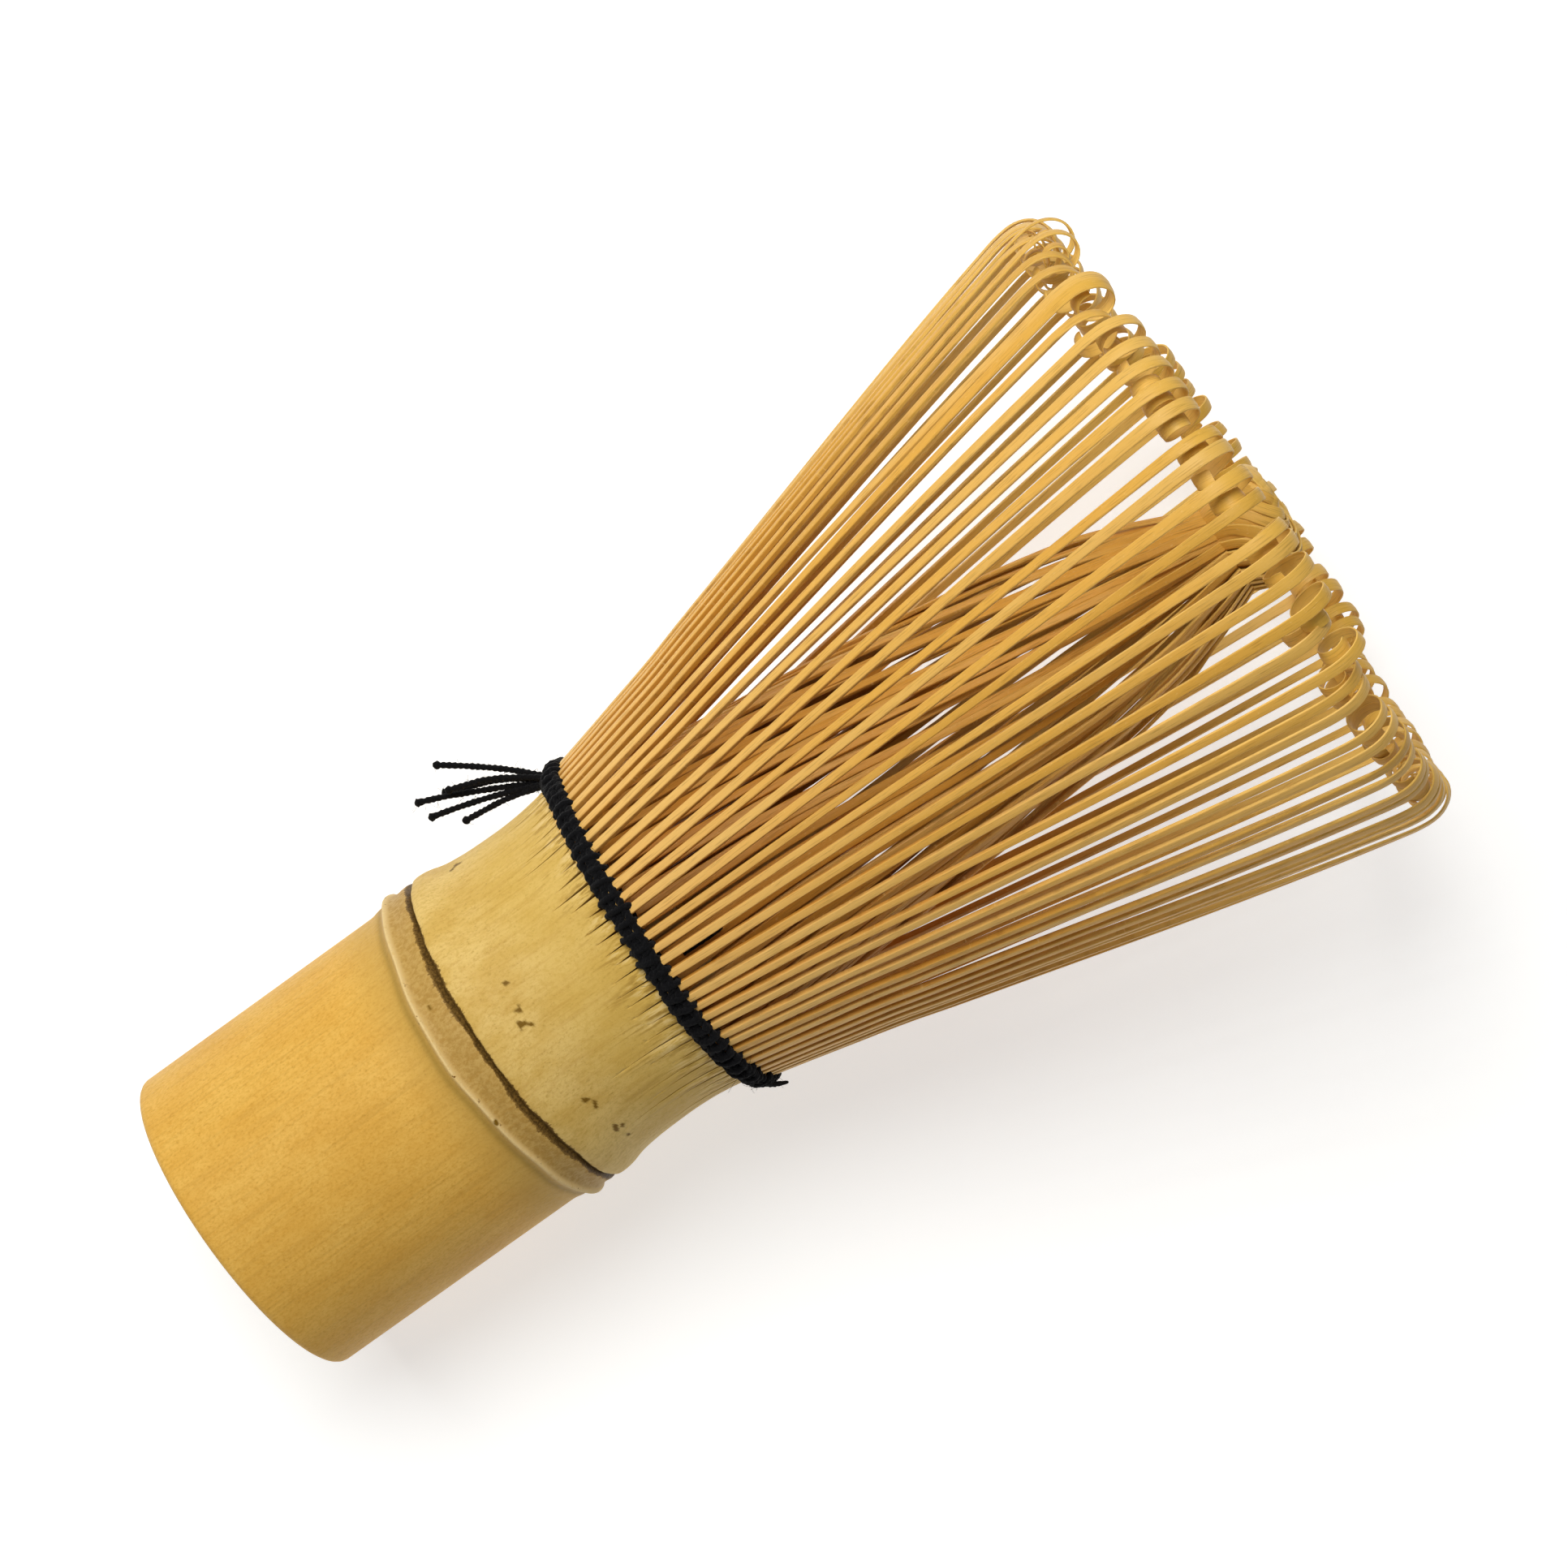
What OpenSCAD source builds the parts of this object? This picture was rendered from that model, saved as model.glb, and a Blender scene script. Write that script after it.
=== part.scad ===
// Bamboo tea whisk: one length of bamboo culm whose upper end is split into
// outer and inner tines, bound at their roots by rows of thread.
// Millimetres, +Z up from the handle's base to the tips of the tines.

/* [Culm] */
// Radius of the handle
handle_r = 15.9; // [14.5:0.1:17]
// Radius of the hollow inside the handle
bore_r = 11; // [9:0.5:12]
// Radius of the hollow inside the split collar
collar_bore_r = 13.2; // [12.8:0.1:13.4]
// Rounding of the handle's lower edge
edge_round = 1; // [0.4:0.1:1.5]
// Height where the handle meets the node
node_z = 27.5; // [26:0.5:28]
// Height of the groove over the node
groove_z = 31.3; // [31:0.1:32]
// How far the node stands out of the handle
node_swell = 0.8; // [0.4:0.1:1.2]
// Radius of the collar's waist
waist_r = 15.6; // [15.2:0.1:15.9]
// Thickness of the wall that closes the culm at its node
diaphragm_t = 1.4; // [1:0.1:2.5]
// Radius of the collar where it flares under the thread
flare_r = 16.35; // [16:0.05:16.5]
// Length of the fine splits that run down into the collar
split_h = 4; // [2:0.5:6]
// Width of a split
split_w = 0.2; // [0.1:0.05:0.3]

/* [Tines] */
// Primary splits of the culm
splits = 16; // [16:1:16]
// Outer tines in each split, and as many inner ones
tines_per_split = 5; // [3:1:5]
// Height where the collar ends and the tines start
root_z = 47.2; // [46.6:0.1:47.6]
// Gap under the outer tines' roots, hidden by the thread
root_gap = 0.3; // [0.2:0.05:0.4]
// Radius of an outer tine's outer face at its root
outer_root_r = 16.7; // [16.5:0.05:16.8]
// Lean of the outer tines from the axis, in degrees
outer_lean = 14.75; // [13:0.25:15]
// Height where the outer tines start to bend in
bend_z = 108; // [105:0.5:109]
// Width of an outer tine at its root
outer_root_w = 0.75; // [0.6:0.05:0.85]
// Width of an outer tine at its tip
outer_tip_w = 1.1; // [0.8:0.05:1.15]
// Thickness of an outer tine at its root
outer_root_t = 0.55; // [0.4:0.05:0.6]
// Thickness of an outer tine at its tip
outer_tip_t = 0.2; // [0.15:0.05:0.3]
// Radius of the slow bend that turns an outer tine upright
back_r = 20; // [16:1:22]
// Radius of the bend at the shoulder of its tip
shoulder_r = 3; // [2.4:0.1:3.4]
// How far the shoulder turns, in degrees
shoulder_sweep = 70; // [60:1:80]
// Radius of the coil at its end
coil_r = 1.6; // [1.4:0.1:1.8]
// How far the coil turns, in degrees
coil_sweep = 250; // [180:5:260]

/* [Inner bundle] */
// Radius of the inner tines at their roots
inner_root_r = 14.7; // [14.5:0.1:14.9]
// Radius of the inner bundle at its knee, where it starts to close faster
knee_r = 9.2; // [8.6:0.1:9.6]
// Height of the knee
knee_z = 94; // [90:1:96]
// Radius of the inner tines where they meet the tuft
inner_top_r = 4.9; // [4.8:0.1:5.2]
// Height of the tuft's underside
tuft_z = 109.5; // [107:0.5:110]
// Radius of the twisted tuft
tuft_r = 5.4; // [5.3:0.1:6]
// Height of the twisted tuft
tuft_h = 6.5; // [5:0.1:6.5]
// How far the tuft leans off the axis, towards +X
tuft_x = 2; // [0:0.5:2.5]
// Width of an inner tine at its root
inner_root_w = 0.7; // [0.5:0.05:0.8]
// Width of an inner tine at the tuft
inner_top_w = 0.3; // [0.25:0.01:0.32]
// Thickness of an inner tine
inner_t = 0.5; // [0.3:0.05:0.5]

/* [Thread] */
// Thickness of the binding thread
thread_d = 0.6; // [0.5:0.05:0.65]
// Distance from one row to the next
row_step = 0.65; // [0.65:0.01:0.68]
// Clear space between a row and the tines that flex inside it
row_clear = 0.2; // [0.15:0.01:0.25]
// Direction of the knot round the axis, in degrees
knot_dir = 152; // [0:1:360]
// Radius of the sweep in which a thread end falls back towards the handle
tail_bend_r = 40; // [30:5:80]

/* [Hidden] */
$fn = 96;
tine_step = 360 / splits / tines_per_split;
tine_z = root_z + root_gap;
bend_run = bend_z - tine_z;
knot_r = 18.5;
knot_z = root_z - 0.2;

// Length of each thread end, and its lean away from the handle in degrees
tail_len = [12.8, 12.5, 10.5, 14.6, 13.8, 11];
tail_lean = [44, 36, 33, 29.5, 23.5, 20];
// How far the thread ends spread sideways, in degrees
tail_swing = 9;

culm_color = [0.86, 0.70, 0.42];
node_color = [0.74, 0.60, 0.38];
collar_color = [0.87, 0.77, 0.51];
outer_color = [0.86, 0.71, 0.44];
inner_color = [0.72, 0.49, 0.22];
thread_color = [0.05, 0.05, 0.07];

// Smooth rise from 0 to 1 while x goes from a to b
function rise(x, a, b) = let (t = min(1, max(0, (x - a) / (b - a)))) (1 - cos(180 * t)) / 2;
function mix(a, b, t) = a + (b - a) * t;

// Outer radius of the node: it swells to the ridge and falls to the groove
function node_outer(z) =
    handle_r + 0.3 * rise(z, node_z - 2, node_z)
    + (node_swell - 0.3) * rise(z, node_z, node_z + 1)
    - (node_swell - 0.3) * rise(z, node_z + 1.6, groove_z - 0.4)
    - 0.6 * rise(z, groove_z - 0.5, groove_z);

// Outer radius of the collar: a lip over the groove, a waist, and a flare under the thread
lip_r = handle_r + 0.5;
function collar_outer(z) =
    lip_r - 0.7 * (1 - rise(z, groove_z, groove_z + 0.9))
    - (lip_r - waist_r) * rise(z, groove_z + 1.2, groove_z + 9)
    + (flare_r - waist_r) * rise(z, groove_z + 9.5, root_z);

// Heading of an outer tine at each bend: negative leans outwards, positive inwards
function heading(i) = [-outer_lean, 0, shoulder_sweep, shoulder_sweep + coil_sweep][i];
// A point on an arc that starts at p with the heading h0 and radius r, and has turned to h
function on_arc(p, r, h0, h) = p + r * [cos(h) - cos(h0), sin(h) - sin(h0)];
bend_r = [back_r, shoulder_r, coil_r];
bend_start = [outer_root_r + bend_run * tan(outer_lean), bend_z];
bend_2 = on_arc(bend_start, bend_r[0], heading(0), heading(1));
bend_3 = on_arc(bend_2, bend_r[1], heading(1), heading(2));
bend_points = [bend_start, bend_2, bend_3];
bend_steps = [3, 6, 12];
// The tine's outer face: each entry is a radius, a height and a heading
outer_face = concat(
    [[outer_root_r, tine_z, -outer_lean]],
    [for (i = [0:2]) for (k = [(i == 0 ? 0 : 1):bend_steps[i]])
        let (
            h = mix(heading(i), heading(i + 1), k / bend_steps[i]),
            p = on_arc(bend_points[i], bend_r[i], heading(i), h)
        ) [p[0], p[1], h]]
);
face_n = len(outer_face);
function tine_t(i) = i == 0 ? outer_root_t : mix(0.35, outer_tip_t, i / (face_n - 1));
tine_profile = concat(
    [for (p = outer_face) [p[0], p[1]]],
    [for (i = [face_n - 1:-1:0])
        let (p = outer_face[i]) [p[0] - tine_t(i) * cos(p[2]), p[1] - tine_t(i) * sin(p[2])]]
);
tine_top = bend_3[1] + 2 * coil_r;

// One outer tine, leaning along +X: its side profile, cut to its width as seen from outside
module outer_tine() {
    intersection() {
        rotate([90, 0, 0]) linear_extrude(height = 2, center = true) polygon(tine_profile);
        rotate([90, 0, 90]) linear_extrude(height = 2 * handle_r + bend_run) polygon([
            [-outer_root_w / 2, tine_z - 1], [outer_root_w / 2, tine_z - 1],
            [outer_tip_w / 2, bend_z], [outer_tip_w / 2, tine_top],
            [-outer_tip_w / 2, tine_top], [-outer_tip_w / 2, bend_z]
        ]);
    }
}

// The outer tines of primary split n, which flex together
module outer_tines(n) {
    color(outer_color) for (k = [0:tines_per_split - 1])
        rotate(360 / splits * (n - 1) + tine_step * (k - (tines_per_split - 1) / 2)) outer_tine();
}

// A straight bar from p up to q, cut level at both ends, whose width goes from w0 to w1
module bar(p, q, w0, w1) {
    run = q - p;
    long = norm(run);
    intersection() {
        translate(p) rotate([0, acos(run[2] / long), atan2(run[1], run[0])])
            rotate([90, 0, 90]) linear_extrude(height = inner_t, center = true) polygon([
                [-w0 / 2, -1], [w0 / 2, -1], [w1 / 2, long + 1], [-w1 / 2, long + 1]
            ]);
        translate([-handle_r, -handle_r, p[2]]) cube([2 * handle_r, 2 * handle_r, run[2]]);
    }
}

// One inner tine in the direction a: from its root to the knee, then in to the tuft
module inner_tine(a) {
    out = [cos(a), sin(a), 0];
    foot = inner_root_r * out + [0, 0, root_z];
    knee = knee_r * out + [tuft_x * 0.75, 0, knee_z];
    top = inner_top_r * out + [tuft_x, 0, tuft_z];
    knee_w = mix(inner_root_w, inner_top_w, 0.7);
    bar(foot, knee, inner_root_w, knee_w);
    bar(knee, top, knee_w, inner_top_w);
}

module inner_tines(n) {
    color(inner_color) for (k = [0:tines_per_split - 1])
        inner_tine(360 / splits * (n - 1) + tine_step * (k - (tines_per_split - 1) / 2));
}

// A tube whose outer radius is given at each height, round a straight bore
module turned(outline, inner_r, z0, z1) {
    rotate_extrude() polygon(concat([[inner_r, z0]], outline, [[inner_r, z1]]));
}

module handle_culm() {
    swell_steps = 6;
    outline = concat(
        [for (k = [0:4]) let (h = 22.5 * k)
            [handle_r - edge_round * (1 - sin(h)), edge_round * (1 - cos(h))]],
        [for (k = [0:swell_steps])
            let (z = mix(node_z - 2, node_z, k / swell_steps)) [node_outer(z), z]]
    );
    color(culm_color) turned(outline, bore_r, 0, node_z);
}

module node_ring() {
    steps = 16;
    outline = [for (k = [0:steps])
        let (z = mix(node_z, groove_z, k / steps)) [node_outer(z), z]];
    color(node_color) turned(outline, bore_r, node_z, groove_z);
}

// The thin wall that closes the culm at its node, slightly domed
module node_diaphragm() {
    radius = collar_bore_r - 0.1;
    color(node_color) translate([0, 0, groove_z]) rotate_extrude() polygon(concat(
        [[0, 0], [radius, 0]],
        [for (k = [8:-1:0]) [radius * k / 8, diaphragm_t * (0.6 + 0.4 * cos(90 * k / 8))]]
    ));
}

module split_collar() {
    steps = 24;
    outline = [for (k = [0:steps])
        let (z = mix(groove_z, root_z, k / steps)) [collar_outer(z), z]];
    color(collar_color) difference() {
        turned(outline, collar_bore_r, groove_z, root_z);
        for (k = [0:splits * tines_per_split - 1]) rotate(tine_step * (k + 0.5))
            translate([collar_bore_r - 1, -split_w / 2, root_z - split_h])
                cube([flare_r - collar_bore_r + 2, split_w, split_h + 1]);
    }
}

// The tuft where the inner tines' tips are twisted together
module inner_tuft() {
    crown = 2.4;
    color(inner_color) translate([tuft_x, 0, tuft_z]) rotate_extrude() polygon(concat(
        [[0, 0], [tuft_r - 0.3, 0], [tuft_r, 0.8]],
        [for (h = [0:15:90]) [tuft_r - crown * (1 - cos(h)), tuft_h - crown * (1 - sin(h))]],
        [[0, tuft_h - 0.6]]
    ));
}

// A ring of thread with the given mid radius and height
module thread_ring(r, z) {
    color(thread_color) translate([0, 0, z]) rotate_extrude() translate([r, 0]) circle(d = thread_d, $fn = 24);
}

// Row n lies on the leaning outer tines, clear enough for them to flex
module thread_row(n) {
    z = root_z + 0.25 + row_step * (n - 1);
    thread_ring(outer_root_r + (z - tine_z) * tan(outer_lean) + row_clear + thread_d / 2, z);
}

// The row that passes between the outer tines and the inner ones
module thread_inner_row() {
    thread_ring(inner_root_r + 0.6, root_z + 0.9);
}

// Places its children at the knot, with -Z down the handle and -X away from it
module at_knot() {
    rotate(knot_dir) translate([knot_r, 0, knot_z]) rotate(180) children();
}

// Three turns of thread round the strands
module thread_knot() {
    wrap_r = 0.55;
    color(thread_color) at_knot() {
        cylinder(r = wrap_r + thread_d / 4, h = 3 * thread_d, center = true);
        for (turn = [-1:1]) translate([0, 0, turn * thread_d * 0.9]) rotate_extrude()
            translate([wrap_r, 0]) circle(d = thread_d, $fn = 24);
    }
}

// A thread end: it leaves the knot outwards, falls in a long sweep and ends in a small bead.
// The first three start side by side on the outer side of the knot, and the rest behind them.
module thread_tail(n) {
    bead_r = 0.38;
    turn = tail_len[n - 1] / tail_bend_r * 180 / PI;
    column = (n - 1) % 3 - 1;
    row = floor((n - 1) / 3) - 0.5;
    color(thread_color) at_knot()
        translate([row * 1.7 * thread_d, column * 1.1 * thread_d, -2 * thread_d])
        rotate([0, tail_lean[n - 1] + turn / 2, -column * tail_swing])
        translate([tail_bend_r, 0, 0]) rotate([-90, 0, 180]) {
            rotate_extrude(angle = turn, $fn = 180)
                translate([tail_bend_r, 0]) circle(d = thread_d, $fn = 24);
            rotate(turn) translate([tail_bend_r, 0, 0]) sphere(r = bead_r, $fn = 24);
        }
}

handle_culm();
node_ring();
node_diaphragm();
split_collar();
outer_tines(1);  // outer_tines_01
outer_tines(2);  // outer_tines_02
outer_tines(3);  // outer_tines_03
outer_tines(4);  // outer_tines_04
outer_tines(5);  // outer_tines_05
outer_tines(6);  // outer_tines_06
outer_tines(7);  // outer_tines_07
outer_tines(8);  // outer_tines_08
outer_tines(9);  // outer_tines_09
outer_tines(10);  // outer_tines_10
outer_tines(11);  // outer_tines_11
outer_tines(12);  // outer_tines_12
outer_tines(13);  // outer_tines_13
outer_tines(14);  // outer_tines_14
outer_tines(15);  // outer_tines_15
outer_tines(16);  // outer_tines_16
inner_tines(1);  // inner_tines_01
inner_tines(2);  // inner_tines_02
inner_tines(3);  // inner_tines_03
inner_tines(4);  // inner_tines_04
inner_tines(5);  // inner_tines_05
inner_tines(6);  // inner_tines_06
inner_tines(7);  // inner_tines_07
inner_tines(8);  // inner_tines_08
inner_tines(9);  // inner_tines_09
inner_tines(10);  // inner_tines_10
inner_tines(11);  // inner_tines_11
inner_tines(12);  // inner_tines_12
inner_tines(13);  // inner_tines_13
inner_tines(14);  // inner_tines_14
inner_tines(15);  // inner_tines_15
inner_tines(16);  // inner_tines_16
inner_tuft();
thread_row(1);  // thread_row_1
thread_row(2);  // thread_row_2
thread_row(3);  // thread_row_3
thread_inner_row();
thread_knot();
thread_tail(1);  // thread_tail_1
thread_tail(2);  // thread_tail_2
thread_tail(3);  // thread_tail_3
thread_tail(4);  // thread_tail_4
thread_tail(5);  // thread_tail_5
thread_tail(6);  // thread_tail_6
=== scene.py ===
import math

import bmesh
import bpy
import numpy as np
from mathutils import Matrix, Vector


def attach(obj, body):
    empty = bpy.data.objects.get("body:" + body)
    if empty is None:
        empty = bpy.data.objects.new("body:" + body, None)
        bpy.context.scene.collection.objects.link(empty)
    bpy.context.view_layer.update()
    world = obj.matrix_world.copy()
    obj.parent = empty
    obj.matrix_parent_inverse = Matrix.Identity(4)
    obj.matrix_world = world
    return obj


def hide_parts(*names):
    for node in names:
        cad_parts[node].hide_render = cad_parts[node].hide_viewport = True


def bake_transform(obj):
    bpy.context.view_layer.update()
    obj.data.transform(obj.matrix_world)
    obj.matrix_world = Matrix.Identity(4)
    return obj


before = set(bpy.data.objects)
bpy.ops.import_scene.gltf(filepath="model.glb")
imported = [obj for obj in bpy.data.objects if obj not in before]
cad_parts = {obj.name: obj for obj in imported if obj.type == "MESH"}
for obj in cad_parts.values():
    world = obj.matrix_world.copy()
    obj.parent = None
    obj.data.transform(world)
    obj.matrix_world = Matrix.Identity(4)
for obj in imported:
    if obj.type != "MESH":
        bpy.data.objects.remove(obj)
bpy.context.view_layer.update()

# Lengths below are in millimetres and angles in degrees, in the CAD frame: +Z runs from the
# handle's base to the tips. The camera looks along +Y. Only the lights are in metres.
MM = 0.001
UP = np.array([0, 0, 1])
SPLITS = 16                      # primary splits of the culm
PER_SPLIT = 5                    # outer tines in each, and as many inner ones
TINES = SPLITS * PER_SPLIT
PITCH = 360 / TINES

HANDLE_R = 15.88
BORE_R = 11.0
COLLAR_BORE_R = 13.2
SEAM_Z = 25.6                    # where the handle's mesh meets the node's, on straight culm
OUTER_ROOT = (16.68, 47.5)       # radius and height where the outer tines start, under the thread
NECK_Z = 110.0                   # the inner tines become the tuft here


# ---------------------------------------------------------------- numbers

def smooth(x, a, b):
    """Smooth rise from 0 to 1 while x goes from a to b."""
    t = np.clip((np.asarray(x, float) - a) / (b - a), 0, 1)
    return t * t * (3 - 2 * t)


def spline(x, points):
    """Smooth curve through (x, y) points."""
    px, py = np.array(points, float).T
    slope = np.gradient(py, px)
    x = np.clip(np.asarray(x, float), px[0], px[-1])
    i = np.clip(np.searchsorted(px, x) - 1, 0, len(px) - 2)
    h = px[i + 1] - px[i]
    t = (x - px[i]) / h
    return ((1 + 2 * t) * (1 - t) ** 2 * py[i] + t * (1 - t) ** 2 * h * slope[i]
            + t * t * (3 - 2 * t) * py[i + 1] - t * t * (1 - t) * h * slope[i + 1])


def cosd(a):
    return np.cos(np.radians(a))


def sind(a):
    return np.sin(np.radians(a))


def unit(v):
    return v / np.linalg.norm(v, axis=-1, keepdims=True)


def bell(x, width):
    """1 where x is 0, falling to nearly 0 by two widths on either side."""
    return np.exp(-(x / width) ** 2)


def radial(azimuth):
    """Outward direction at an azimuth, and the direction along the circle."""
    c, s = cosd(azimuth), sind(azimuth)
    zero = np.zeros_like(c)
    return np.stack([c, s, zero], -1), np.stack([-s, c, zero], -1)


def around(azimuth, r, z):
    """Points at azimuths, radii and heights round the whisk's axis."""
    return radial(azimuth)[0] * r[:, None] + UP * z[:, None]


# ---------------------------------------------------------------- meshes

class Parts:
    """Vertices, faces, UVs and point attributes of one piece, gathered before it is made."""

    def __init__(self):
        self.verts, self.faces, self.uvs, self.values, self.count = [], [], [], {}, 0

    def add(self, verts, faces, uv=None, **values):
        verts = np.asarray(verts, float).reshape(-1, 3)
        n = len(verts)
        self.verts.append(verts)
        self.faces += [tuple(i + self.count for i in f) for f in faces]
        self.uvs.append(np.zeros((n, 2)) if uv is None else np.asarray(uv, float).reshape(-1, 2))
        for name, value in values.items():
            filled = np.broadcast_to(np.asarray(value, float).reshape(-1), (n,)) \
                if np.size(value) == 1 else np.asarray(value, float).reshape(-1)
            self.values.setdefault(name, []).append(filled)
        self.count += n

    def piece(self, name, material, slot, body="root", stands_for=(), sharp=40):
        """Makes the piece, on its CAD body and in place of its CAD nodes."""
        mesh = bpy.data.meshes.new(name)
        mesh.from_pydata(np.concatenate(self.verts) * MM, [], self.faces)
        bm = bmesh.new()
        bm.from_mesh(mesh)
        bmesh.ops.recalc_face_normals(bm, faces=bm.faces)
        bm.to_mesh(mesh)
        bm.free()
        corner = np.zeros(len(mesh.loops), int)
        mesh.loops.foreach_get("vertex_index", corner)
        layer = mesh.uv_layers.new(name="UVMap")
        layer.data.foreach_set("uv", np.concatenate(self.uvs)[corner].astype(np.float32).ravel())
        for key, parts in self.values.items():
            attribute = mesh.attributes.new(key, "FLOAT", "POINT")
            attribute.data.foreach_set("value", np.concatenate(parts).astype(np.float32))
        mesh.shade_smooth()
        mesh.set_sharp_from_angle(angle=math.radians(sharp))
        mesh.materials.append(material)
        obj = bpy.data.objects.new(name, mesh)
        bpy.context.scene.collection.objects.link(obj)
        if body:
            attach(obj, body)
        if stands_for:
            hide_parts(*stands_for)
        return obj


def grid_faces(rows, columns, closed_rows=False, caps=False):
    """Quads over a grid whose columns close round. Rows close too, or are capped."""
    faces = []
    for i in range(rows if closed_rows else rows - 1):
        a, b = i * columns, (i + 1) % rows * columns
        faces += [(a + j, a + (j + 1) % columns, b + (j + 1) % columns, b + j)
                  for j in range(columns)]
    if caps:
        faces += [tuple(range(columns)), tuple(range((rows - 1) * columns, rows * columns))]
    return faces


def distance_along(path):
    """How far along the path each of its points is."""
    return np.concatenate([[0], np.cumsum(np.linalg.norm(np.diff(path, axis=0), axis=1))])


def ribbon(parts, path, outward, width, thick, u_shift, v_start, **values):
    """Sweeps a flat shaved strip along path. outward is the side that carries the skin."""
    n = len(path)
    along = unit(np.gradient(path, axis=0))
    across = unit(np.cross(outward, along))
    normal = np.cross(along, across)
    width = np.broadcast_to(width, (n,))
    thick = np.broadcast_to(thick, (n,))
    # Ten points round the section: bevelled corners, and a skin side that is slightly crowned
    bevel = np.minimum(0.07, 0.28 * thick)
    a, b = 1 - bevel / (width / 2), 1 - bevel / (thick / 2)
    one, none = np.ones(n), np.zeros(n)
    crown = 1 + 0.12 * width / np.maximum(thick, 0.2)
    side = np.stack([-a, none, a, one, one, a, none, -a, -one, -one], 1)
    up = np.stack([one, crown, one, b, -b, -one, -one, -one, -b, b], 1)
    skin = np.tile([1, 1, 1, 0.35, 0, 0, 0, 0, 0, 0.35], (n, 1))
    points = side.shape[1]
    verts = (path[:, None] + across[:, None] * (side * width[:, None] / 2)[..., None]
             + normal[:, None] * (up * thick[:, None] / 2)[..., None])
    length = v_start + distance_along(path)
    uv = np.stack([side * width[:, None] / 2 + u_shift, np.repeat(length[:, None], points, 1)], -1)
    spread = {k: np.repeat(np.broadcast_to(v, (n,))[:, None], points, 1) for k, v in values.items()}
    parts.add(verts, grid_faces(n, points, caps=True), uv, skin=skin, **spread)
    return length[-1]


def strand(parts, path, radius, twist=1.3, lobes=0.14, sides=10, phase=0.0, closed=False):
    """Sweeps a plied thread along path: two lobes that turn once every twist millimetres."""
    n = len(path)
    step = (np.roll(path, -1, 0) - np.roll(path, 1, 0)) if closed else np.gradient(path, axis=0)
    along = unit(step)
    # Starts from any direction off the path, and carries it along without twist
    current = np.array([0.31, 0.22, 0.92]) if abs(along[0][2]) < 0.9 else np.array([1.0, 0.2, 0.1])
    side = np.zeros_like(path)
    for i in range(n):
        current = unit(current - along[i] * (current @ along[i]))
        side[i] = current
    if closed:
        side = unit(UP - along * along[:, 2:3])
    other = np.cross(along, side)
    length = distance_along(path)
    angle = np.linspace(0, 2 * math.pi, sides, endpoint=False)[None]
    turn = (length / twist * 2 * math.pi)[:, None] + phase
    r = np.broadcast_to(radius, (n,))[:, None] * (1 + lobes * np.cos(2 * (angle - turn)))
    verts = path[:, None] + (side[:, None] * (r * np.cos(angle))[..., None]
                             + other[:, None] * (r * np.sin(angle))[..., None])
    uv = np.stack([np.repeat(angle / 6.3, n, 0), np.repeat(length[:, None], sides, 1)], -1)
    parts.add(verts, grid_faces(n, sides, closed_rows=closed, caps=not closed), uv)


# ---------------------------------------------------------------- materials

def srgb(*rgb):
    """Display colour from 0 to 1 as the linear colour that the shader takes."""
    return tuple(c / 12.92 if c <= 0.04045 else ((c + 0.055) / 1.055) ** 2.4 for c in rgb) + (1.0,)


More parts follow.
